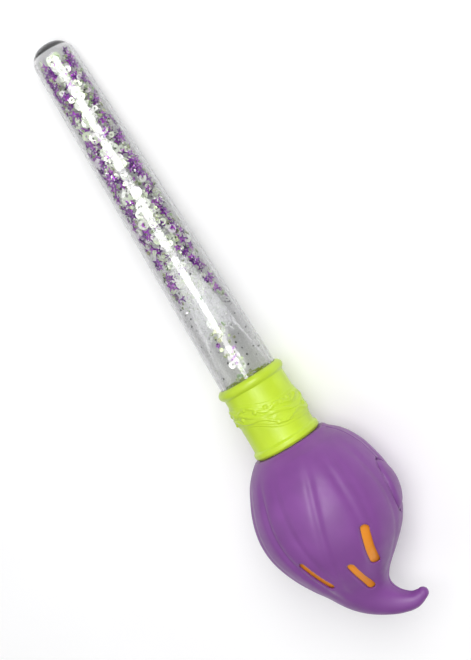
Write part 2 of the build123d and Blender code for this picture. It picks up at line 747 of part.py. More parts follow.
with BuildPart() as speaker_cone:
    cone_edge = BASKET_RADIUS - BASKET_WALL
    cone_h = basket_h + BASKET_WALL + CONE_WALL
    with BuildSketch(speaker_plane):
        with BuildLine():
            Polyline(
                (cone_edge, SPEAKER_FRONT_H),
                (cone_edge, SPEAKER_FRONT_H - CONE_WALL),
                (DUST_CAP_RADIUS, cone_h),
                (0, cone_h),
                (0, cone_h + DUST_CAP_RADIUS / 2),
                (DUST_CAP_RADIUS, cone_h + CONE_WALL),
                (cone_edge - CONE_WALL, SPEAKER_FRONT_H),
                close=True,
            )
        make_face()
    revolve(axis=speaker_axis)
speaker_cone.part.label = "speaker_cone"
export_step(speaker_cone.part, "parts/speaker_cone.step")

with BuildPart() as speaker_magnet:
    with BuildSketch(top.offset(basket_h)):
        with Locations((SPEAKER_S, SPEAKER_W)):
            Circle(MAGNET_RADIUS)
    extrude(amount=-MAGNET_HEIGHT)
speaker_magnet.part.label = "speaker_magnet"
export_step(speaker_magnet.part, "parts/speaker_magnet.step")

with BuildPart() as cup_hollow:
    add(head_body(WALL + CUP_GAP + CUP_WALL, CAVITY_START_S, CAVITY_END_S))
    with BuildSketch(top):
        with Locations((SPEAKER_S, SPEAKER_W)):
            Circle(SPEAKER_RADIUS + RUNNING_GAP + CUP_WALL)
            Circle(SPEAKER_RADIUS + RUNNING_GAP, mode=Mode.SUBTRACT)
    extrude(amount=CROWN_RADIUS * 2, mode=Mode.SUBTRACT)

with BuildPart() as speaker_cup:
    with BuildSketch(top.offset(CUP_BASE_H)):
        with Locations((CUP_S, CUP_W)):
            Ellipse(CUP_LENGTH / 2, CUP_WIDTH / 2)
        with Locations(*BOSSES):
            Circle(BOSS_RADIUS + CUP_GAP, mode=Mode.SUBTRACT)
    extrude(amount=CROWN_RADIUS * 2)
    add(head_body(WALL + CUP_GAP, CAVITY_START_S, CAVITY_END_S), mode=Mode.INTERSECT)
    add(cup_hollow.part, mode=Mode.SUBTRACT)
speaker_cup.part.label = "speaker_cup"
export_step(speaker_cup.part, "parts/speaker_cup.step")

# ---------------------------------------------------------------- battery cells, contacts and wires

CELLS = ((-CELL_PITCH, False), (0, True), (CELL_PITCH, False))  # w, turned to point at the tail

with BuildPart() as battery_cells:
    for cell_w, points_to_tail in CELLS:
        start_s = CELL_START_S + (CELL_SHIFT if points_to_tail else 0)
        with BuildSketch(wand.offset(start_s)):
            with Locations((cell_w, CELL_H)):
                Circle(CELL_RADIUS)
        extrude(amount=CELL_LENGTH)
        nub_s, nub_length = (start_s + CELL_LENGTH, NUB_LENGTH) if points_to_tail else (start_s, -NUB_LENGTH)
        with BuildSketch(wand.offset(nub_s)):
            with Locations((cell_w, CELL_H)):
                Circle(NUB_RADIUS)
        extrude(amount=nub_length)
battery_cells.part.label = "battery_cells"
export_step(battery_cells.part, "parts/battery_cells.step")

with BuildPart() as contact_plates:
    for start_s in PLATE_STARTS:
        with BuildSketch(wand.offset(start_s)):
            with Locations(*[(cell_w, CELL_H) for cell_w, _ in CELLS]):
                Rectangle(PLATE_SIZE, PLATE_SIZE)
            if start_s == PLATE_STARTS[0]:
                with Locations((-CELL_PITCH, TAB_TOP_H), (CELL_PITCH, TAB_TOP_H)):
                    Rectangle(TAB_WIDTH, TAB_TOP_H - CELL_H, align=(Align.CENTER, Align.MAX))
        extrude(amount=PLATE_THICKNESS)
contact_plates.part.label = "contact_plates"
export_step(contact_plates.part, "parts/contact_plates.step")

with BuildPart() as contact_springs:
    for cell_w, points_to_tail in CELLS:
        plate_s = PLATE_STARTS[0] + PLATE_THICKNESS if points_to_tail else PLATE_STARTS[1]
        away = 1 if points_to_tail else -1
        for i, coil_radius in enumerate(COIL_RADII):
            coil_s = plate_s + away * COIL_WIRE * (1 + 2 * i)
            with Locations(wand.offset(coil_s)):
                with Locations((cell_w, CELL_H, 0)):
                    Torus(coil_radius, COIL_WIRE)
contact_springs.part.label = "contact_springs"
export_step(contact_springs.part, "parts/contact_springs.step")

with BuildPart() as battery_wires:
    with BuildSketch(top.offset(TAB_TOP_H)):
        tab_s = PLATE_STARTS[0] + PLATE_THICKNESS / 2
        with Locations((tab_s, -CELL_PITCH), (tab_s, CELL_PITCH)):
            Circle(WIRE_RADIUS)
    extrude(amount=board_back_h - TAB_TOP_H)
battery_wires.part.label = "battery_wires"
export_step(battery_wires.part, "parts/battery_wires.step")

board_mid_h = board_back_h + BOARD_THICKNESS / 2
with BuildPart() as light_wires:
    with BuildSketch(wand.offset(LIGHT_BOARD_S + LIGHT_BOARD_THICKNESS)):
        with Locations((-3, board_mid_h), (0, board_mid_h), (3, board_mid_h)):
            Circle(WIRE_RADIUS)
    extrude(amount=BOARD_START_S - LIGHT_BOARD_S - LIGHT_BOARD_THICKNESS)
light_wires.part.label = "light_wires"
export_step(light_wires.part, "parts/light_wires.step")

with BuildPart() as speaker_wires:
    with BuildSketch(wand.offset(BOARD_END_S)):
        with Locations((SPEAKER_W - 1.5, board_mid_h), (SPEAKER_W + 1.5, board_mid_h)):
            Circle(WIRE_RADIUS)
    extrude(amount=SPEAKER_S - MAGNET_RADIUS - BOARD_END_S + WIRE_RADIUS)
    add(speaker_magnet.part, mode=Mode.SUBTRACT)
speaker_wires.part.label = "speaker_wires"
export_step(speaker_wires.part, "parts/speaker_wires.step")
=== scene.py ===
import json
import math
import random

import bmesh
import bpy
import numpy as np
from mathutils import Matrix, Vector


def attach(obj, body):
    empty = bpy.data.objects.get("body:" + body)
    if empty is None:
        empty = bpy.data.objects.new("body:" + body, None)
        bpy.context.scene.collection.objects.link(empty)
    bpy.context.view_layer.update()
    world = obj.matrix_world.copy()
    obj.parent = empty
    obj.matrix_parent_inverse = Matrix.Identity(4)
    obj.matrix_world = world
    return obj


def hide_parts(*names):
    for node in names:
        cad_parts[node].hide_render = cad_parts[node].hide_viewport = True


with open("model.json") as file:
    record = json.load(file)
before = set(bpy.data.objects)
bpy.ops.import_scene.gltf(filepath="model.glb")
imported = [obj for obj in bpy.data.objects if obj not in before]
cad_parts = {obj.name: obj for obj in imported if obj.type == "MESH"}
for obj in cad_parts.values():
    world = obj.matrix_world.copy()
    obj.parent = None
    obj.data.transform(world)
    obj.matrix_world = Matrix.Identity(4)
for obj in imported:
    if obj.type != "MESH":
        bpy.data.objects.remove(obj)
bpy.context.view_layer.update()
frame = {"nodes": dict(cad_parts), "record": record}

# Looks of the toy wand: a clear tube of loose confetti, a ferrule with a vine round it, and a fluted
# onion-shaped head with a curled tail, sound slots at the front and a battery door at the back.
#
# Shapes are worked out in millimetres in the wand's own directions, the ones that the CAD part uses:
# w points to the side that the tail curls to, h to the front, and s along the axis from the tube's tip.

MM = 0.001
SEED = 7

# ---------------------------------------------------------------- the wand's own frame

GRIP_S = 197.0
grip = next(mount for mount in frame["record"]["mounts"] if mount["name"] == "ferrule_grip")
AXIS = Vector(grip["axis"]).normalized()
SIDE = Vector((0, 1, 0))
FRONT = AXIS.cross(SIDE)
TIP = Vector(grip["pos_m"]) - AXIS * GRIP_S * MM
LOCAL = (
    Matrix.Translation(TIP)
    @ Matrix((SIDE, FRONT, AXIS)).transposed().to_4x4()
    @ Matrix.Scale(MM, 4)
)


def reach_of(node):
    """Lowest and highest w, h, s of a CAD node, in millimetres."""
    to_wand = LOCAL.inverted()
    points = np.array([to_wand @ vertex.co for vertex in frame["nodes"][node].data.vertices])
    return points.min(0), points.max(0)


# ---------------------------------------------------------------- sizes, in millimetres

# clear tube
TIP_RADIUS = 10.1
BASE_RADIUS = 14.38
BASE_S = 178.0
DOME_RADIUS = 9.0
BORE_TIP_RADIUS = 8.9
BORE_BASE_RADIUS = 13.1
BORE_END_S = 2.5
BORE_CORNER = 4.2
FLANGE_RADIUS = 16.4
FLANGE_THICKNESS = 2.0
TUBE_END_S = 221.0

# confetti: the stretch where most of it lies, a star's inner corners, and the gap to the bore
CROWD_START_S = 7.5
CROWD_END_S = 136
STAR_INNER = 0.43
FLAKE_CLEARANCE = 0.12

# ferrule
FERRULE_START_S = 178.4
FERRULE_END_S = 215.1
FERRULE_BORE = 14.5
NECK_RADIUS = 15.3
SKIRT_RADIUS = 15.9
TOP_BEAD = (180.9, 14.5, 2.45)
BOTTOM_BEAD = (212.9, 15.0, 2.1)

# head: w, s, heading along w and s, radius of its round sections from the neck to the tail's tip
HEAD_SECTIONS = (
    (0.0, 214.6, 0, 1, 17.6),
    (0.0, 215.9, 0, 1, 19.3),
    (0.0, 221.5, 0, 1, 24.9),
    (0.0, 229.0, 0, 1, 29.6),
    (-0.6, 239.0, 0, 1, 33.4),
    (-0.9, 249.0, 0, 1, 35.2),
    (-1.1, 258.0, 0, 1, 34.6),
    (-1.3, 266.0, 0, 1, 32.2),
    (-2.0, 273.5, 0, 1, 28.3),
    (-3.6, 281.0, 0, 1, 22.6),
    (-5.2, 287.5, 0, 1, 16.9),
    (-4.8, 293.0, 0.12, 1, 13.2),
    (-2.5, 297.6, 0.35, 1, 10.4),
    (2.1, 302.2, 0.62, 0.8, 7.6),
    (8.4, 306.0, 0.84, 0.5, 5.4),
    (13.7, 307.2, 0.98, 0.1, 4.1),
    (18.1, 306.1, 0.92, -0.4, 2.9),
)
SKIN = 0.12
HEAD_ROWS = 230
HEAD_COLUMNS = 380

# flutes: angle from the front and swirl from the shoulder to the slots, in degrees, and depth
FLUTES = (
    (-84, 4, 0.6), (-58, 4, 0.65), (-33, 3, 1.1), (-14, 2, 0.6), (14, -18, 0.85), (38, -2, 0.5),
    (48, -4, 0.4), (70, 5, 0.5), (96, 0, 0.5), (120, -3, 0.6), (147, -3, 0.7), (172, -3, 0.7),
    (198, -3, 0.7), (225, 0, 0.6), (250, 3, 0.6),
)
FLUTE_HALF_WIDTH = 2.1
SWIRL_START_S = 240.0
SWIRL_END_S = 277.0
FLUTE_START_S = 219.0
FLUTE_END_S = 293.0
FLUTE_FADE = 14.0
FLUTE_LIMIT = 1.2

# sound slots: s and w of both ends, width
SLOTS = (
    ((262.3, -15.2), (280.9, -10.6), 3.2),
    ((273.4, 4.0), (291.1, 2.4), 3.5),
    ((260.5, 19.7), (280.4, 11.9), 3.9),
)
SLOT_ROUNDING = 1.0

# lines moulded into the head
SEAM_DEPTH = 0.45
SEAM_HALF_WIDTH = 0.55
SEAM_FADE_RADIUS = 6
DOOR_LINE_HALF_WIDTH = 0.7

# the sides of the head that the slots, the door's line and the button's rim are on
SLOTS_ABOVE_H = 4
DOOR_BELOW_H = -8
BUTTON_BEYOND_W = 15

# battery door and its screw tongue: middle s and w, half length and width, corner
DOOR_PANEL = (253.4, 0.0, 24.6, 18.5, 3.0)
DOOR_TONGUE = (281.0, -4.0, 5.0, 5.0, 0.5)

# side button: the shell's rim round it, its flange's width, the gap to the shell, and its round face
BUTTON_RIM = 0.7
BUTTON_FLANGE = 1.4
BUTTON_GAP = 0.4
BUTTON_FLANGE_W = 26.5
BUTTON_FACE_CENTRE = (9.7, 251.9)
BUTTON_FACE_RADIUS = 25.85
BUTTON_ROUNDING = 2.0
BUTTON_GRID = 0.3

# vine band: its middle and half width at their mean, and how far both change as the band leans
BAND_S = 196.05
BAND_RISE = 3.65
BAND_HALF_WIDTH = 4.85
BAND_SWELL = 0.75
BAND_HEIGHT = 0.6
VINE_BERRIES = 24
VINE_STRANDS = ((-0.62, 7, 0.0), (0.0, 5, 1.9), (0.62, 6, 4.1))

# camera: where it looks, how far it is turned about the wand, how far it dips, and its distance
CAMERA_TARGET = (6.6, 0.0, 157.3)
CAMERA_ROLL = 20.0
CAMERA_DIP = 2.4
CAMERA_DISTANCE = 0.846
CAMERA_LENS = 100
PICTURE_LEAN = math.atan2(0.521, 0.854)
FRONT_TURN = math.radians(CAMERA_ROLL)

# light boxes: offset from the wand's middle in metres, length, width and watts
LIGHTS = (
    ("strip", (-0.36, 0.36, 0.95), 0.46, 0.82, 7.4),
    ("overhead", (0.10, 0.20, 0.95), 1.3, 0.9, 3.4),
    ("side", (-0.3, -1.1, 0.7), 0.6, 0.6, 1.0),
)
MIDDLE_S = 160

# ---------------------------------------------------------------- mesh tools


def grid_faces(rows, columns, wrap):
    """Quads of a grid of points, whose last column may join its first."""
    across = columns if wrap else columns - 1
    row, column = np.meshgrid(np.arange(rows - 1), np.arange(across), indexing="ij")
    after = (column + 1) % columns
    near, far = row * columns, (row + 1) * columns
    quads = (near + column, near + after, far + after, far + column)
    return np.stack(quads, axis=-1).reshape(-1, 4).tolist()


def mesh_of(name, points, faces):
    """A mesh in the wand's millimetres."""
    mesh = bpy.data.meshes.new(name)
    mesh.from_pydata(np.asarray(points).reshape(-1, 3).tolist(), [], faces)
    tidy = bmesh.new()
    tidy.from_mesh(mesh)
    bmesh.ops.recalc_face_normals(tidy, faces=tidy.faces)
    tidy.to_mesh(mesh)
    tidy.free()
    return mesh


def closed_grid(name, rings):
    """A closed mesh through rings of points, with flat ends."""
    count, columns = rings.shape[:2]
    faces = grid_faces(count, columns, wrap=True)
    faces.append(list(range(columns)))
    faces.append([(count - 1) * columns + i for i in range(columns)])
    return mesh_of(name, rings, faces)


def around_wand(radius, turn, s):
    """Points at a radius from the wand's axis, at a turn from the front and an s."""
    return np.stack(np.broadcast_arrays(radius * np.sin(turn), radius * np.cos(turn), s), axis=-1)


def turned(name, profile, columns):
    """A closed ring-shaped mesh: a loop of (radius, s) turned about the wand's axis."""
    turn = np.linspace(0, 2 * math.pi, columns, endpoint=False)
    radius, s = np.array(profile).T
    rings = around_wand(radius[:, None], turn, s[:, None])
    rings = np.concatenate((rings, rings[:1]))
    faces = grid_faces(len(rings), columns, wrap=True)
    mesh = mesh_of(name, rings, faces)
    weld(mesh)
    return mesh


def weld(mesh):
    """Joins points that share a place."""
    tidy = bmesh.new()
    tidy.from_mesh(mesh)
    bmesh.ops.remove_doubles(tidy, verts=tidy.verts, dist=0.0005)
    bmesh.ops.recalc_face_normals(tidy, faces=tidy.faces)
    tidy.to_mesh(mesh)
    tidy.free()


def piece(name, mesh, slot, body="wand", stands_for=(), crease=40, material=None):
    """Puts a mesh of the wand's millimetres into the scene as a piece of the object."""
    mesh.transform(LOCAL)
    mesh.polygons.foreach_set("use_smooth", [True] * len(mesh.polygons))
    mesh.set_sharp_from_angle(angle=math.radians(crease))
    mesh.materials.clear()
    mesh.materials.append(MATERIALS[material or slot])
    made = bpy.data.objects.new(name, mesh)
    bpy.context.collection.objects.link(made)
    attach(made, body)
    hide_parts(*stands_for)


def cad_solid(node):
    """A CAD node's mesh in the wand's millimetres, welded."""
    mesh = frame["nodes"][node].data.copy()
    mesh.transform(LOCAL.inverted())
    weld(mesh)
    return mesh


def shared_solid(first, second):
    """The mesh of what two closed meshes share."""
    holders = [bpy.data.objects.new("holder", mesh) for mesh in (first, second)]
    for holder in holders:
        bpy.context.collection.objects.link(holder)
    cut = holders[0].modifiers.new("shared", "BOOLEAN")
    cut.operation = "INTERSECT"
    cut.solver = "MANIFOLD"
    cut.object = holders[1]
    bpy.context.view_layer.update()
    result = bpy.data.meshes.new_from_object(
        holders[0].evaluated_get(bpy.context.evaluated_depsgraph_get())
    )
    for holder in holders:
        bpy.data.objects.remove(holder)
    return result


# ---------------------------------------------------------------- materials


class Finish:
    """A node material with helpers for the few textures that the wand's finishes share."""

    def __init__(self, name, **settings):
        self.material = bpy.data.materials.new(name)
        self.material.use_nodes = True
        self.nodes = self.material.node_tree.nodes
        self.links = self.material.node_tree.links
        self.shader = self.nodes["Principled BSDF"]
        for socket, value in settings.items():
            self.shader.inputs[socket.replace("_", " ")].default_value = value
        self.place = self.nodes.new("ShaderNodeTexCoord").outputs["Object"]

    def noise(self, size_mm, detail=3.0, distortion=0.0):
        """Noise with features about size_mm across."""
        node = self.nodes.new("ShaderNodeTexNoise")
        node.inputs["Scale"].default_value = 1 / (size_mm * MM)
        node.inputs["Detail"].default_value = detail
        node.inputs["Distortion"].default_value = distortion
        self.links.new(self.place, node.inputs["Vector"])
        return node.outputs["Fac"]

    def ramp(self, source, stops):
        """Colours along a source that runs from 0 to 1."""
        node = self.nodes.new("ShaderNodeValToRGB")
        ramp = node.color_ramp
        while len(ramp.elements) < len(stops):
            ramp.elements.new(1.0)
        for element, (position, colour) in zip(ramp.elements, stops):
            element.position = position
            element.color = (*colour, 1.0)
        self.links.new(source, node.inputs["Fac"])
        return node.outputs["Color"]

    def span(self, source, low, high, start=0.3, end=0.7):
        """Numbers from low to high as the source goes from start to end."""
        node = self.nodes.new("ShaderNodeMapRange")
        for socket, value in zip(("From Min", "From Max", "To Min", "To Max"), (start, end, low, high)):
            node.inputs[socket].default_value = value
        self.links.new(source, node.inputs["Value"])
        return node.outputs["Result"]

    def colour(self, output):
        """Takes the colour from an output."""
        self.links.new(output, self.shader.inputs["Base Color"])

    def roughness(self, output):
        """Takes the roughness from an output."""
        self.links.new(output, self.shader.inputs["Roughness"])

    def bump(self, output, depth_mm, strength=1.0):
        """A relief of depth_mm from the source, on top of any that is already there."""
        node = self.nodes.new("ShaderNodeBump")
        node.inputs["Distance"].default_value = depth_mm * MM
        node.inputs["Strength"].default_value = strength
        self.links.new(output, node.inputs["Height"])
        normal = self.shader.inputs["Normal"]
        if normal.links:
            self.links.new(normal.links[0].from_socket, node.inputs["Normal"])
        self.links.new(node.outputs["Normal"], normal)


def shade(colour, factor):
    """A colour made lighter or darker."""
    return tuple(min(part * factor, 1.0) for part in colour)


def moulded_plastic(name, colour, rough, grain_mm, grain_depth_mm, **settings):
    """Moulded plastic: faint clouding of its colour, a fine surface grain and slow ripples."""
    finish = Finish(name, **settings)
    cloud = finish.noise(14.0, 2.0)
    finish.colour(finish.ramp(cloud, ((0.3, shade(colour, 0.93)), (0.7, shade(colour, 1.07)))))
    finish.roughness(finish.span(finish.noise(3.0, 4.0), rough - 0.05, rough + 0.05))
    finish.bump(finish.noise(9.0, 1.0), grain_depth_mm * 6)
    finish.bump(finish.noise(grain_mm, 3.0), grain_depth_mm)
    return finish.material


PURPLE = (0.222, 0.067, 0.292)
LIME = (0.530, 0.720, 0.035)
ORANGE = (0.930, 0.330, 0.030)

# metallised film, and white grains for the dust and for the painted reflection streaks: the tints that their
# bits run through
VIOLET_FILM = (
    (0.0, (0.08, 0.012, 0.16)),
    (0.45, (0.30, 0.05, 0.46)),
    (0.8, (0.50, 0.06, 0.66)),
    (1.0, (0.80, 0.30, 0.90)),
)
PEARL_FILM = ((0.0, (0.95, 0.97, 0.92)), (0.5, (0.80, 0.92, 0.66)), (1.0, (0.94, 0.88, 0.95)))
GREEN_FILM = ((0.0, (0.36, 0.58, 0.28)), (0.5, (0.72, 0.86, 0.48)), (1.0, (0.50, 0.52, 0.30)))
WHITE_DUST_AND_REFLECTION = ((0.0, (0.90, 0.90, 0.91)), (0.85, (0.93, 0.93, 0.94)), (1.0, (0.70, 0.80, 0.62)))

# clear plastic
CLEAR_INDEX = 1.49
CLEAR_TINT = (0.50, 0.50, 0.51, 1)
CLEAR_DENSITY = 300


def foil(name, stops, rough, **settings):
    """Metallised film, each flake its own tint, with the fine creases of stamped foil."""
    finish = Finish(name, **settings)
    flake = finish.nodes.new("ShaderNodeNewGeometry").outputs["Random Per Island"]
    finish.colour(finish.ramp(flake, stops))
    finish.roughness(finish.span(finish.noise(0.6, 2.0), rough - 0.06, rough + 0.08))
    finish.bump(finish.noise(0.8, 2.0), 0.03)
    return finish.material


def clear_plastic():
    """Polished clear polystyrene with the slow waviness of moulding."""
    finish = Finish("clear_plastic", Transmission_Weight=1.0, IOR=CLEAR_INDEX)
    haze = finish.noise(20.0, 2.0)
    finish.colour(finish.ramp(haze, ((0.3, (0.95, 0.95, 0.955)), (0.7, (0.98, 0.98, 0.98)))))
    absorption = finish.nodes.new("ShaderNodeVolumeAbsorption")
    absorption.inputs["Color"].default_value = CLEAR_TINT
    absorption.inputs["Density"].default_value = CLEAR_DENSITY
    finish.links.new(absorption.outputs["Volume"], finish.nodes["Material Output"].inputs["Volume"])
    finish.roughness(finish.span(finish.noise(4.0, 4.0), 0.01, 0.035))
    finish.bump(finish.noise(16.0, 1.0), 0.05)
    let_lamps_through(finish)
    return finish.material


def let_lamps_through(finish):
    """Lets lamps shine through a clear material onto what is behind it."""
    through = finish.nodes.new("ShaderNodeBsdfTransparent")
    mix = finish.nodes.new("ShaderNodeMixShader")
    path = finish.nodes.new("ShaderNodeLightPath")
    finish.links.new(path.outputs["Is Shadow Ray"], mix.inputs["Fac"])
    finish.links.new(finish.shader.outputs["BSDF"], mix.inputs[1])
    finish.links.new(through.outputs["BSDF"], mix.inputs[2])
    finish.links.new(mix.outputs["Shader"], finish.nodes["Material Output"].inputs["Surface"])


def metal(name, colour, rough):
    """Plated metal with fine drawing lines."""
    finish = Finish(name, Metallic=1.0)
    finish.colour(finish.ramp(finish.noise(2.0, 3.0), ((0.3, shade(colour, 0.85)), (0.7, colour))))
    finish.roughness(finish.span(finish.noise(0.4, 3.0), rough, rough + 0.15))
    finish.bump(finish.noise(0.25, 2.0), 0.01)
    return finish.material


def circuit_green():
    """Solder mask over copper tracks, which show as lighter blocks."""
    finish = Finish("circuit", Roughness=0.3)
    tracks = finish.nodes.new("ShaderNodeTexVoronoi")
    tracks.distance = "CHEBYCHEV"
    tracks.inputs["Scale"].default_value = 1 / (2.5 * MM)
    finish.links.new(finish.place, tracks.inputs["Vector"])
    edge = tracks.outputs["Distance"]
    finish.colour(finish.ramp(edge, ((0.38, (0.015, 0.12, 0.045)), (0.48, (0.04, 0.26, 0.10)))))
    finish.bump(edge, 0.03)
    return finish.material


def pressed_paper():
    """Black speaker paper with fibres."""
    finish = Finish("paper")
    fibre = finish.noise(0.5, 5.0, 2.0)
    finish.colour(finish.ramp(fibre, ((0.3, (0.025, 0.025, 0.027)), (0.7, (0.075, 0.073, 0.07)))))
    finish.roughness(finish.span(fibre, 0.8, 0.95))
    finish.bump(fibre, 0.05)
    return finish.material


MATERIALS = {
    "clear_plastic": clear_plastic(),
    "purple_plastic": moulded_plastic("purple_plastic", PURPLE, 0.42, 0.5, 0.012, Specular_IOR_Level=0.45),
    "lime_plastic": moulded_plastic("lime_plastic", LIME, 0.33, 0.6, 0.008),
    "orange_plastic": moulded_plastic("orange_plastic", ORANGE, 0.35, 0.6, 0.008),
    "black_plastic": moulded_plastic("black_plastic", (0.02, 0.02, 0.022), 0.5, 0.4, 0.01),
    "violet_foil": foil("violet_foil", VIOLET_FILM, 0.28, Metallic=0.6),
    "pearl_foil": foil("pearl_foil", PEARL_FILM, 0.22, Metallic=0.25, Coat_Weight=0.6),
    # white grains: the real dust, and the painted reflections of the light boxes
    "white_dust_and_reflection": foil("white_dust_and_reflection", WHITE_DUST_AND_REFLECTION, 0.5),
    "green_foil": foil("green_foil", GREEN_FILM, 0.25, Metallic=0.6),
    "circuit": circuit_green(),
    "led_white": moulded_plastic("led_white", (0.85, 0.83, 0.62), 0.2, 0.4, 0.004),
    "steel": metal("steel", (0.72, 0.73, 0.75), 0.22),
    "paper": pressed_paper(),
    "silicone": moulded_plastic("silicone", (0.75, 0.75, 0.73), 0.5, 0.5, 0.006),
    "cell_wrap": moulded_plastic("cell_wrap", (0.04, 0.05, 0.07), 0.3, 0.7, 0.006),
    "wire": moulded_plastic("wire", (0.55, 0.03, 0.02), 0.4, 0.5, 0.006),
}
for subpart in frame["record"]["subparts"]:
    for holder in frame["nodes"][subpart["node"]].material_slots:
        holder.material = MATERIALS[subpart["material_slot"]]

# ---------------------------------------------------------------- clear tube


def taper(s, at_tip, at_base):
    """A radius that grows evenly from the tube's tip to its base, and then stays."""
    return at_tip + (at_base - at_tip) * np.minimum(np.asarray(s) / BASE_S, 1)


def quarter(radius, end_s, corner, steps, inwards):
    """The rounded corner of a turned profile, which starts flat at end_s, as (radius, s) points."""
    turns = np.linspace(0, math.pi / 2, steps)
    if inwards:
        turns = turns[::-1]
    return [(radius - corner + corner * math.sin(a), end_s + corner - corner * math.cos(a)) for a in turns]


def tube_profile():
    """Loop of the tube's wall: over the dome, down to the flange, and back up the bore."""
    outer_r = float(taper(DOME_RADIUS, TIP_RADIUS, BASE_RADIUS))
    inner_r = float(taper(BORE_END_S + BORE_CORNER, BORE_TIP_RADIUS, BORE_BASE_RADIUS))
    loop = [(0.001, 0.0)]
    loop += quarter(outer_r, 0.0, DOME_RADIUS, 28, inwards=False)
    loop += [(float(taper(s, TIP_RADIUS, BASE_RADIUS)), s) for s in np.linspace(DOME_RADIUS + 4, BASE_S, 40)]
    loop += [
        (BASE_RADIUS, TUBE_END_S - FLANGE_THICKNESS),
        (FLANGE_RADIUS, TUBE_END_S - FLANGE_THICKNESS),
        (FLANGE_RADIUS, TUBE_END_S),
        (BORE_BASE_RADIUS, TUBE_END_S),
    ]
    bore = [
        (float(taper(s, BORE_TIP_RADIUS, BORE_BASE_RADIUS)), s)
        for s in np.linspace(BASE_S, BORE_END_S + BORE_CORNER + 4, 40)
    ]
    return loop + bore + quarter(inner_r, BORE_END_S, BORE_CORNER, 16, inwards=True) + [(0.001, BORE_END_S)]


def make_tube():
    """The clear tube, with its thin wall and domed tip."""
    mesh = turned("clear_tube", tube_profile(), 160)
    piece("clear_tube", mesh, "clear_plastic", stands_for=["wand_tube"], crease=50)


# ---------------------------------------------------------------- confetti


def star_outline(radius):
    """A five-pointed star."""
    corners = []
    for i in range(10):
        reach = (radius, radius * STAR_INNER)[i % 2]
        corners.append((reach * math.cos(i * math.pi / 5), reach * math.sin(i * math.pi / 5)))
    return corners


def round_outline(radius, sides=20):
    """A disc."""
    turns = np.linspace(0, 2 * math.pi, sides, endpoint=False)
    return [(radius * math.cos(turn), radius * math.sin(turn)) for turn in turns]


def hex_outline(radius):
    """A hexagon."""
    return round_outline(radius, 6)


def chip_outline(radius):
    """An uneven scrap with four or five corners."""
    sides = random.choice((4, 5))
    return [
        (radius * random.uniform(0.6, 1) * math.cos(i * 2 * math.pi / sides),
         radius * random.uniform(0.6, 1) * math.sin(i * 2 * math.pi / sides))
        for i in range(sides)
    ]


def flake(outline, thickness, hole, crown):
    """Points and faces of one flake with a hole, flat but for a crown round the hole."""
    count = len(outline)
    rim = np.array(outline)
    points, faces = [], []
    for level in (thickness / 2, -thickness / 2):
        points += [(x, y, level) for x, y in rim]
        points += [(x * hole, y * hole, level + crown) for x, y in rim]
    upper_rim, upper_hole, lower_rim, lower_hole = (count * i for i in range(4))
    for i in range(count):
        j = (i + 1) % count
        faces.append([upper_rim + i, upper_rim + j, upper_hole + j, upper_hole + i])
        faces.append([lower_rim + j, lower_rim + i, lower_hole + i, lower_hole + j])
        faces.append([upper_rim + j, upper_rim + i, lower_rim + i, lower_rim + j])
        faces.append([upper_hole + i, upper_hole + j, lower_hole + j, lower_hole + i])
    return np.array(points), faces


def bore_at(s):
    """Radius of the tube's bore at s, which rounds off at the tip."""
    radius = float(taper(s, BORE_TIP_RADIUS, BORE_BASE_RADIUS))
    into_corner = BORE_END_S + BORE_CORNER - s
    if into_corner > 0:
        radius -= BORE_CORNER - math.sqrt(max(BORE_CORNER**2 - into_corner**2, 0))
    return radius


def flake_pose(size, s, turn, depth, tilt):
    """A place against the bore, or depth mm inside it, with the flake's face turned inwards."""
    lean = random.gauss(0, tilt)
    roll = random.gauss(0, tilt)
    room = math.sqrt(max(bore_at(s) ** 2 - size**2, 1))
    stick_out = size * max(abs(math.sin(lean)), abs(math.sin(roll)))
    reach = max(room - stick_out - FLAKE_CLEARANCE - depth, 0.0)
    facing = Matrix.Rotation(-turn, 4, "Z") @ Matrix.Rotation(-math.pi / 2, 4, "X")
    spin = Matrix.Rotation(random.uniform(0, 2 * math.pi), 4, "Z")
    tilted = Matrix.Rotation(lean, 4, "X") @ Matrix.Rotation(roll, 4, "Y")
    place = Matrix.Translation((reach * math.sin(turn), reach * math.cos(turn), s))
    return place @ facing @ tilted @ spin


def grain(size):
    """Points and faces of one grain of dust, a thin tetrahedron."""
    corners = ((size, 0, 0), (-size / 2, size * 0.8, 0), (-size / 2, -size * 0.8, 0), (0, 0, size / 3))
    return np.array(corners), [[0, 2, 1], [0, 1, 3], [1, 2, 3], [2, 0, 3]]


def scatter(name, shape_of, sizes, poses, slot, stands_for=(), material=None):
    """Many loose bits as one piece. poses gives one (s, turn, depth, tilt) for each bit."""
    points, faces = [], []
    for s, turn, depth, tilt in poses:
        size = random.choice(sizes)
        shape, sides = shape_of(size)
        place = flake_pose(size, s, turn, depth, tilt)
        offset = len(points)
        points += [place @ Vector(point) for point in shape]
        faces += [[offset + corner for corner in side] for side in sides]
    mesh = bpy.data.meshes.new(name)
    mesh.from_pydata(points, [], faces)
    piece(name, mesh, slot, stands_for=stands_for, crease=30, material=material)


def flakes_of(outline, hole, crown=0.0, thickness=0.1):
    """A function that gives the points and faces of a flake of any size, with this outline."""
    return lambda size: flake(outline(size), thickness, hole, crown * size)


def spread(count, start, end, depth, tilt=0.55):
    """Even random places all round the bore."""
    return [
        (random.uniform(start, end), random.uniform(0, 2 * math.pi), random.uniform(0, depth), tilt)
        for _ in range(count)
    ]


def two_sides(count, start, end):
    """Places along the two flanks of the tube, where the stars have gathered, thinning to the base."""
    places = []
    for _ in range(count):
        turn = FRONT_TURN + random.choice((-1, 1)) * math.radians(random.gauss(52, 18))
        s = start + (end - start) * random.random() ** 1.1
        places.append((s, turn, random.uniform(0, 0.5), 0.3))
    return places


def front_line(count, start, end, spread_degrees, tilt):
    """Places in a line along the front of the tube."""
    return [
        (random.uniform(start, end), FRONT_TURN + math.radians(random.gauss(-4, spread_degrees)),
         random.uniform(0, 0.6), tilt)
        for _ in range(count)
    ]


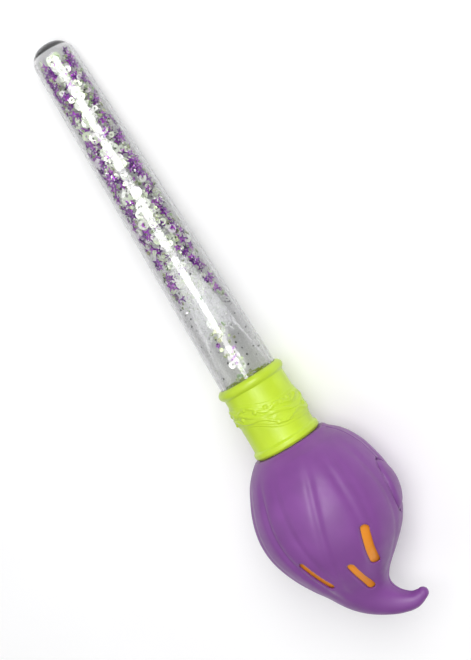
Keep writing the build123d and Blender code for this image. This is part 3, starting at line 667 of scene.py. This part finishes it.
def powder(count, start, end):
    """Places of the fine dust, in a patch at the front that narrows towards the tip."""
    places = []
    for _ in range(count):
        s = random.triangular(start, end, end - 12)
        half_angle = 0.35 + 0.5 * (s - start) / (end - start)
        turn = FRONT_TURN + random.uniform(-half_angle, half_angle)
        places.append((s, turn, random.uniform(0, 0.8), 0.6))
    return places


def painted_reflection_streaks(count, start, end):
    """Places of white grains in two lines that part from the patch and run down the flanks to the base: a
    painted reflection of the light boxes on the bore.
    """
    places = []
    for _ in range(count):
        share = random.random()
        half_angle = math.radians(38 + 26 * share + random.gauss(0, 1.5))
        turn = FRONT_TURN + random.choice((-1, 1)) * half_angle
        places.append((start + (end - start) * share, turn, 0.1, 0.4))
    return places


def make_stars():
    """Violet stars, which crowd along both flanks."""
    shape = flakes_of(star_outline, hole=0.3, crown=0.08)
    crowd = two_sides(170, CROWD_START_S, CROWD_END_S) + spread(50, CROWD_START_S, 128, 3)
    scatter("stars", shape, (2.2, 2.5, 2.8), crowd, "violet_foil", ["star_confetti"])
    scatter("large_stars", shape, (3.2, 3.5), two_sides(8, 60, 124), "violet_foil")
    strays = spread(60, CROWD_START_S, 145, 2) + front_line(9, 150, 176, 9, 0.3)
    scatter("small_stars", shape, (1.2, 1.4), strays, "violet_foil")


def make_sequins():
    """Pearly round sequins, most of them along the front."""
    places = spread(230, CROWD_START_S, 138, 2)
    places += front_line(110, CROWD_START_S, 134, 16, 0.25)
    places += front_line(9, 148, 176, 9, 0.3)
    shape = flakes_of(round_outline, hole=0.3, crown=-0.05)
    scatter("sequins", shape, (1.1, 1.4, 1.8, 2.1, 2.5), places, "pearl_foil", ["round_sequins"])
    shape = flakes_of(round_outline, hole=0.3, crown=-0.08)
    scatter("large_sequins", shape, (2.9,), front_line(2, 158, 168, 4, 0.15), "pearl_foil")


def make_small_flakes():
    """Green hexagons, dark dots and pearly scraps."""
    hexagon = flakes_of(hex_outline, hole=0.1)
    places = spread(420, CROWD_START_S, 140, 3) + front_line(30, 148, 178, 9, 0.4)
    scatter("hexagons", hexagon, (0.8, 1.0, 1.3), places, "green_foil", ["hex_flakes"])
    places = spread(260, CROWD_START_S, 150, 2) + spread(30, 150, 178, 0.5)
    scatter("dark_dots", hexagon, (0.35, 0.5, 0.6), places, "black_plastic")
    places = spread(700, CROWD_START_S, 140, 3) + front_line(160, CROWD_START_S, 140, 18, 0.3)
    scrap = flakes_of(chip_outline, hole=0.1, thickness=0.05)
    scatter("scraps", scrap, (0.4, 0.6, 0.9), places, "pearl_foil")


def make_dust_and_reflection_streaks():
    """White dust in the patch at the front and a little everywhere, and two streaks of white grains that
    paint the light boxes' reflections on the bore's flanks.
    """
    # the streaks are painted reflections of the light boxes, made of the same white grains as the dust
    places = powder(8500, 112, 158) + painted_reflection_streaks(900, 152, 179)
    places += spread(1800, 8, 178, 1) + spread(900, 176, 196, 1)
    scatter("dust_and_reflection_streaks", grain, (0.22, 0.32, 0.45), places, "pearl_foil", material="white_dust_and_reflection")


# ---------------------------------------------------------------- ferrule with its vine


def swell(turn):
    """From -1 to 1 round the wand: which way the vine band leans, with its fall at the front."""
    steepness = 2.2
    fall = math.radians(5)
    return np.tanh(steepness * np.sin(turn - fall)) / math.tanh(steepness)


def dome(distance, radius, height):
    """A round bump of the given radius and height."""
    return height * np.sqrt(np.clip(1 - (distance / radius) ** 2, 0, 1))


def ridge(offset, half_width, height):
    """A rounded ridge along offset = 0."""
    return height * np.clip(1 - (offset / half_width) ** 2, 0, 1)


def around_from(turn, at_turn):
    """Distance round the ferrule from at_turn, in millimetres."""
    return (np.mod(turn - at_turn + math.pi, 2 * math.pi) - math.pi) * NECK_RADIUS


def leaf(turn, s, at_turn, at_s, length, width, lean):
    """A small leaf that lies on the band, with a crease along its middle."""
    around = around_from(turn, at_turn)
    along = s - at_s
    x = around * math.cos(lean) + along * math.sin(lean)
    y = -around * math.sin(lean) + along * math.cos(lean)
    half = width * np.clip(1 - (x / length) ** 2, 0, 1)
    body = np.where(half > 0, np.clip(1 - (y / np.maximum(half, 0.01)) ** 2, 0, 1), 0)
    return 0.6 * body - 0.25 * np.clip(1 - np.abs(y) / 0.3, 0, 1) * (body > 0)


def band_middle(turn):
    """The s of the vine band's middle at a turn from the front."""
    return BAND_S + BAND_RISE * swell(turn)


def band_half_width(turn):
    """Half the vine band's width at a turn from the front."""
    return BAND_HALF_WIDTH + BAND_SWELL * swell(turn)


def strand_relief(turn, off, half, band):
    """The band with its winding strands and their fine fibres."""
    relief = band
    for share, waves, phase in VINE_STRANDS:
        path = share * half + 1.2 * np.sin(waves * turn + phase)
        relief = np.maximum(relief, band + ridge(off - path, 1.1, 0.55))
    return relief + 0.09 * np.sin((off + 0.8 * np.sin(4 * turn)) * 5.2) * (np.abs(off) < half)


def vine_relief(turn, s):
    """How far the vine stands off the ferrule at a turn from the front and an s."""
    half = band_half_width(turn)
    off = s - band_middle(turn)
    band = BAND_HEIGHT / (1 + np.exp((np.abs(off) - half) / 0.14))
    relief = strand_relief(turn, off, half, band)
    vine = random.Random(SEED)
    for i in range(VINE_BERRIES):
        at_turn = 2 * math.pi * i / VINE_BERRIES + vine.uniform(-0.08, 0.08)
        centre = float(band_middle(at_turn))
        side = vine.choice((-0.75, -0.3, 0.35, 0.8)) * float(band_half_width(at_turn))
        distance = np.hypot(around_from(turn, at_turn), s - centre - side)
        relief = np.maximum(relief, band + dome(distance, vine.uniform(0.9, 1.4), 0.85))
        leaf_turn = at_turn + vine.uniform(0.05, 0.2)
        if i % 2:
            lean = vine.uniform(-0.9, 0.9)
            grown = leaf(turn, s, leaf_turn, centre - side * 0.6, 2.4, 1.1, lean)
            relief = np.maximum(relief, 0.35 + grown)
    return np.where(np.abs(off) < half + 1.2, relief, band)


def ferrule_radius(s):
    """Radius of the ferrule's outside without its vine: a slightly flared neck between two beads."""
    share = (s - FERRULE_START_S) / (FERRULE_END_S - FERRULE_START_S)
    radius = NECK_RADIUS + (SKIRT_RADIUS - NECK_RADIUS) * share
    for bead_s, bead_r, bead_size in (TOP_BEAD, BOTTOM_BEAD):
        bead = bead_r + np.sqrt(np.clip(bead_size**2 - (s - bead_s) ** 2, 0, None))
        blend = 0.25
        top = np.maximum(radius, bead)
        radius = top + blend * np.log1p(np.exp(-np.abs(radius - bead) / blend)) * (np.abs(s - bead_s) < 4)
    return radius


def ferrule_stations():
    """Values of s along the ferrule, closer together round the outer half of each bead."""
    turns = np.linspace(0, math.pi / 2, 16)
    top = TOP_BEAD[0] - TOP_BEAD[2] * np.cos(turns)
    bottom = BOTTOM_BEAD[0] + BOTTOM_BEAD[2] * np.sin(turns)
    return np.concatenate((top, np.arange(TOP_BEAD[0] + 0.28, BOTTOM_BEAD[0], 0.28), bottom))


def make_ferrule():
    """The ferrule, with its two beads and the vine moulded round it."""
    columns = 340
    stations = ferrule_stations()
    turns = np.linspace(0, 2 * math.pi, columns, endpoint=False)
    s, turn = np.meshgrid(stations, turns, indexing="ij")
    widest = TOP_BEAD[1] + TOP_BEAD[2]
    on_neck = (s > TOP_BEAD[0] + TOP_BEAD[2]) & (s < BOTTOM_BEAD[0] - BOTTOM_BEAD[2])
    radius = np.minimum(ferrule_radius(s) + np.where(on_neck, vine_relief(turn, s), 0), widest)
    radius = np.maximum(radius, FERRULE_BORE + 0.05)
    outside = around_wand(radius, turn, s)
    bore_s = np.array((stations[-1], (stations[0] + stations[-1]) / 2, stations[0]))
    bore = around_wand(FERRULE_BORE, turns, bore_s[:, None])
    rings = np.concatenate((outside, bore, outside[:1]))
    mesh = mesh_of("vine_ferrule", rings, grid_faces(len(rings), columns, wrap=True))
    weld(mesh)
    piece("vine_ferrule", mesh, "lime_plastic", stands_for=["ferrule"], crease=60)


# ---------------------------------------------------------------- fluted head


def smooth_curve(knots, values, at):
    """A smooth curve through values at knots."""
    slopes = np.gradient(values, knots, axis=0)
    i = np.clip(np.searchsorted(knots, at, side="right") - 1, 0, len(knots) - 2)
    span = (knots[i + 1] - knots[i])[:, None]
    x = (at - knots[i])[:, None] / span
    return (
        values[i] * (2 * x**3 - 3 * x**2 + 1)
        + slopes[i] * span * (x**3 - 2 * x**2 + x)
        + values[i + 1] * (3 * x**2 - 2 * x**3)
        + slopes[i + 1] * span * (x**3 - x**2)
    )


def head_path():
    """Centre (w, s), heading and radius of many sections from the neck to the rounded tip."""
    sections = np.array(HEAD_SECTIONS, float)
    knots = np.concatenate(((0,), np.cumsum(np.hypot(*np.diff(sections[:, :2], axis=0).T))))
    fine = smooth_curve(knots, sections, np.linspace(0, knots[-1], HEAD_ROWS))
    centre, heading, radius = fine[:, :2], fine[:, 2:4], fine[:, 4] - SKIN
    heading /= np.linalg.norm(heading, axis=1)[:, None]
    turns = np.linspace(0, math.pi / 2, 10)[1:-1, None]
    centre = np.concatenate((centre, centre[-1] + heading[-1] * radius[-1] * np.sin(turns)))
    radius = np.concatenate((radius, radius[-1] * np.cos(turns[:, 0])))
    heading = np.concatenate((heading, np.repeat(heading[-1:], len(turns), axis=0)))
    return centre, heading, radius


def flute_depth(s, turn, radius):
    """Depth of the flutes at each point of the head, none at the neck and past the slots."""
    swirled = np.clip((s - SWIRL_START_S) / (SWIRL_END_S - SWIRL_START_S), -0.5, 1.2)
    depth = 0
    for angle, swirl, flute in FLUTES:
        centre = np.radians(angle + swirl * swirled)
        off = (np.mod(turn - centre + math.pi, 2 * math.pi) - math.pi) * radius / FLUTE_HALF_WIDTH
        depth = depth + flute * np.exp(-off * off)
    fade = np.clip((s - FLUTE_START_S) / FLUTE_FADE, 0, 1) * np.clip((FLUTE_END_S - s) / FLUTE_FADE, 0, 1)
    return np.minimum(depth, FLUTE_LIMIT) * fade


def capsule_distance(s, w, slot):
    """Distance outside a slot's outline, below 0 inside it."""
    start, end, width = np.array(slot[0]), np.array(slot[1]), slot[2]
    run = end - start
    length = np.hypot(*run)
    along = ((s - start[0]) * run[0] + (w - start[1]) * run[1]) / length
    along = np.clip(along, width / 2, length - width / 2)
    nearest_s, nearest_w = start[0] + run[0] * along / length, start[1] + run[1] * along / length
    return np.hypot(s - nearest_s, w - nearest_w) - width / 2


def box_distance(s, w, middle_s, middle_w, half_s, half_w, corner):
    """Distance outside a rounded rectangle, below 0 inside it."""
    over_s = np.abs(s - middle_s) - half_s + corner
    over_w = np.abs(w - middle_w) - half_w + corner
    outside = np.hypot(np.maximum(over_s, 0), np.maximum(over_w, 0))
    return outside + np.minimum(np.maximum(over_s, over_w), 0) - corner


def door_distance(s, w):
    """Distance from the battery door's outline, its screw tongue included."""
    return np.minimum(box_distance(s, w, *DOOR_PANEL), box_distance(s, w, *DOOR_TONGUE))


def rounded_edge(distance, size):
    """How far a surface drops as it rounds over an edge at distance 0."""
    near = np.clip(1 - distance / size, 0, 1)
    return size * (1 - np.sqrt(1 - near**2))


def groove(distance, half_width, depth):
    """Depth of a V groove along distance 0."""
    return depth * np.clip(1 - np.abs(distance) / half_width, 0, 1)


def button_distance(s, h, inset):
    """Distance outside an oval that lies inset mm inside the button's flange, below 0 inside it."""
    low, high = reach_of("side_button")
    half_length, half_width = (high[2] - low[2]) / 2 - inset, (high[1] - low[1]) / 2 - inset
    return (np.hypot((s - (low[2] + high[2]) / 2) / half_length, h / half_width) - 1) * half_width


def head_body():
    """The head's moulded outside as a closed mesh: flutes, seam, door line, slot and button edges."""
    centre, heading, radius = (part[:, None] for part in head_path())
    turn = np.linspace(0, 2 * math.pi, HEAD_COLUMNS, endpoint=False)[None, :]
    s_middle = centre[..., 1]
    reach = radius - flute_depth(s_middle, turn, radius)
    seam = groove(radius * np.cos(turn), SEAM_HALF_WIDTH, SEAM_DEPTH)
    reach = reach - seam * np.clip(radius / SEAM_FADE_RADIUS, 0, 1)
    across = reach * np.sin(turn)
    w = centre[..., 0] + across * heading[..., 1]
    s = s_middle - across * heading[..., 0]
    h = reach * np.cos(turn)
    for slot in SLOTS:
        h = h - rounded_edge(capsule_distance(s, w, slot), SLOT_ROUNDING) * (h > SLOTS_ABOVE_H)
    h = h + groove(door_distance(s, w), DOOR_LINE_HALF_WIDTH, SEAM_DEPTH) * (h < DOOR_BELOW_H)
    outside = button_distance(s, h, BUTTON_FLANGE - BUTTON_GAP)
    w = w - rounded_edge(outside, BUTTON_RIM) * (w > BUTTON_BEYOND_W)
    return closed_grid("head_body", np.stack((w, h, s), axis=-1))


def make_head():
    """Both shells and the battery door, as the CAD solids cut back to the moulded outside."""
    for name, node, body in (
        ("fluted_front", "front_shell", "wand"),
        ("fluted_back", "back_shell", "wand"),
        ("fluted_door", "battery_door", "door"),
    ):
        mesh = shared_solid(cad_solid(node), head_body())
        piece(name, mesh, "purple_plastic", body, [node], crease=38)


# ---------------------------------------------------------------- side button


def button_grid():
    """Even s and h that cover the button with a millimetre to spare, and its lowest w."""
    low, high = reach_of("side_button")
    s, h = np.meshgrid(
        np.arange(low[2] - 1, high[2] + 1, BUTTON_GRID), np.arange(low[1] - 1, high[1] + 1, BUTTON_GRID),
        indexing="ij",
    )
    return s, h, low[0]


def rim_of(rows, columns):
    """Numbers of the points round the edge of a grid, in order."""
    rim = list(range(columns))
    rim += [i * columns + columns - 1 for i in range(1, rows)]
    rim += [rows * columns - 1 - i for i in range(1, columns)]
    rim += [i * columns for i in range(rows - 2, 0, -1)]
    return rim


def button_body():
    """A closed mesh with the button's round face, its edge rounded over, down to its flange."""
    s, h, lowest_w = button_grid()
    outside = button_distance(s, h, BUTTON_FLANGE)
    face_w, face_s = BUTTON_FACE_CENTRE
    top = face_w + np.sqrt(BUTTON_FACE_RADIUS**2 - (s - face_s) ** 2 - h**2)
    top = np.where(outside < 0, top - rounded_edge(-outside, BUTTON_ROUNDING), BUTTON_FLANGE_W)
    upper = np.stack((top, h, s), axis=-1).reshape(-1, 3)
    lower = np.stack((np.full_like(top, lowest_w - 1), h, s), axis=-1).reshape(-1, 3)
    count = len(upper)
    faces = grid_faces(*s.shape, wrap=False)
    faces += [[corner + count for corner in reversed(face)] for face in faces]
    rim = rim_of(*s.shape)
    faces += [[j, i, i + count, j + count] for i, j in zip(rim, rim[1:] + rim[:1])]
    return mesh_of("button_body", np.concatenate((upper, lower)), faces)


def make_button():
    """The side button: the CAD solid cut back to its rounded body."""
    mesh = shared_solid(cad_solid("side_button"), button_body())
    piece("petal_button", mesh, "purple_plastic", "button", ["side_button"], crease=38)


# ---------------------------------------------------------------- floor, light and camera


def make_floor():
    """A plain pale floor under the wand."""
    half = 3.0
    corners = ((-half, -half, 0), (half, -half, 0), (half, half, 0), (-half, half, 0))
    mesh = bpy.data.meshes.new("floor")
    mesh.from_pydata(corners, [], [(0, 1, 2, 3)])
    finish = Finish("floor", Roughness=0.9, Specular_IOR_Level=0.1, Emission_Strength=0.12)
    finish.shader.inputs["Emission Color"].default_value = (1, 1, 1, 1)
    paper = finish.noise(60.0, 2.0)
    finish.colour(finish.ramp(paper, ((0.3, (0.88, 0.88, 0.88)), (0.7, (0.90, 0.90, 0.90)))))
    mesh.materials.append(finish.material)
    floor = bpy.data.objects.new("floor", mesh)
    bpy.context.collection.objects.link(floor)


def area_light(name, place, length, width, energy, target):
    """A soft light box that points at the target, with its length along the wand."""
    light = bpy.data.lights.new(name, "AREA")
    light.shape = "RECTANGLE"
    light.size, light.size_y = length, width
    light.energy = energy
    holder = bpy.data.objects.new(name, light)
    holder.location = place
    holder.rotation_euler = (target - place).to_track_quat("-Z", "Y").to_euler()
    bpy.context.collection.objects.link(holder)


def make_lights():
    """The light boxes round the wand."""
    middle = LOCAL @ Vector((0, 0, MIDDLE_S))
    for name, offset, length, width, energy in LIGHTS:
        area_light(name, middle + Vector(offset), length, width, energy, middle)


def make_world():
    """A studio: pale overhead, greyer towards the horizon."""
    world = bpy.data.worlds.new("studio")
    world.use_nodes = True
    nodes, links = world.node_tree.nodes, world.node_tree.links
    direction = nodes.new("ShaderNodeTexCoord").outputs["Generated"]
    split = nodes.new("ShaderNodeSeparateXYZ")
    links.new(direction, split.inputs["Vector"])
    ramp = nodes.new("ShaderNodeValToRGB")
    for element, position, level in zip(ramp.color_ramp.elements, (0.0, 0.8), (0.10, 0.40)):
        element.position = position
        element.color = (level, level, level * 1.02, 1)
    links.new(split.outputs["Z"], ramp.inputs["Fac"])
    links.new(ramp.outputs["Color"], nodes["Background"].inputs["Color"])
    nodes["Background"].inputs["Strength"].default_value = 1.0
    bpy.context.scene.world = world


def make_camera():
    """The camera above the wand, a little to its curled side, with the wand slanting down the picture."""
    roll, dip = math.radians(CAMERA_ROLL), math.radians(CAMERA_DIP)
    back = (
        SIDE * math.sin(roll) * math.cos(dip) + FRONT * math.cos(roll) * math.cos(dip) - AXIS * math.sin(dip)
    ).normalized()
    along = (AXIS - back * AXIS.dot(back)).normalized()
    across = along.cross(back)
    if across.dot(SIDE) < 0:
        across = -across
    right = along * math.sin(PICTURE_LEAN) + across * math.cos(PICTURE_LEAN)
    up = back.cross(right)
    camera = bpy.data.cameras.new("camera")
    camera.lens = CAMERA_LENS
    holder = bpy.data.objects.new("camera", camera)
    place = LOCAL @ Vector(CAMERA_TARGET) + back * CAMERA_DISTANCE
    turn = Matrix((right, up, back)).transposed().to_4x4()
    holder.matrix_world = Matrix.Translation(place) @ turn
    bpy.context.collection.objects.link(holder)
    bpy.context.scene.camera = holder


random.seed(SEED)
make_tube()
make_stars()
make_sequins()
make_small_flakes()
make_dust_and_reflection_streaks()
make_ferrule()
make_head()
make_button()
make_floor()
make_world()
make_lights()
make_camera()
bpy.context.scene.view_settings.view_transform = "Standard"
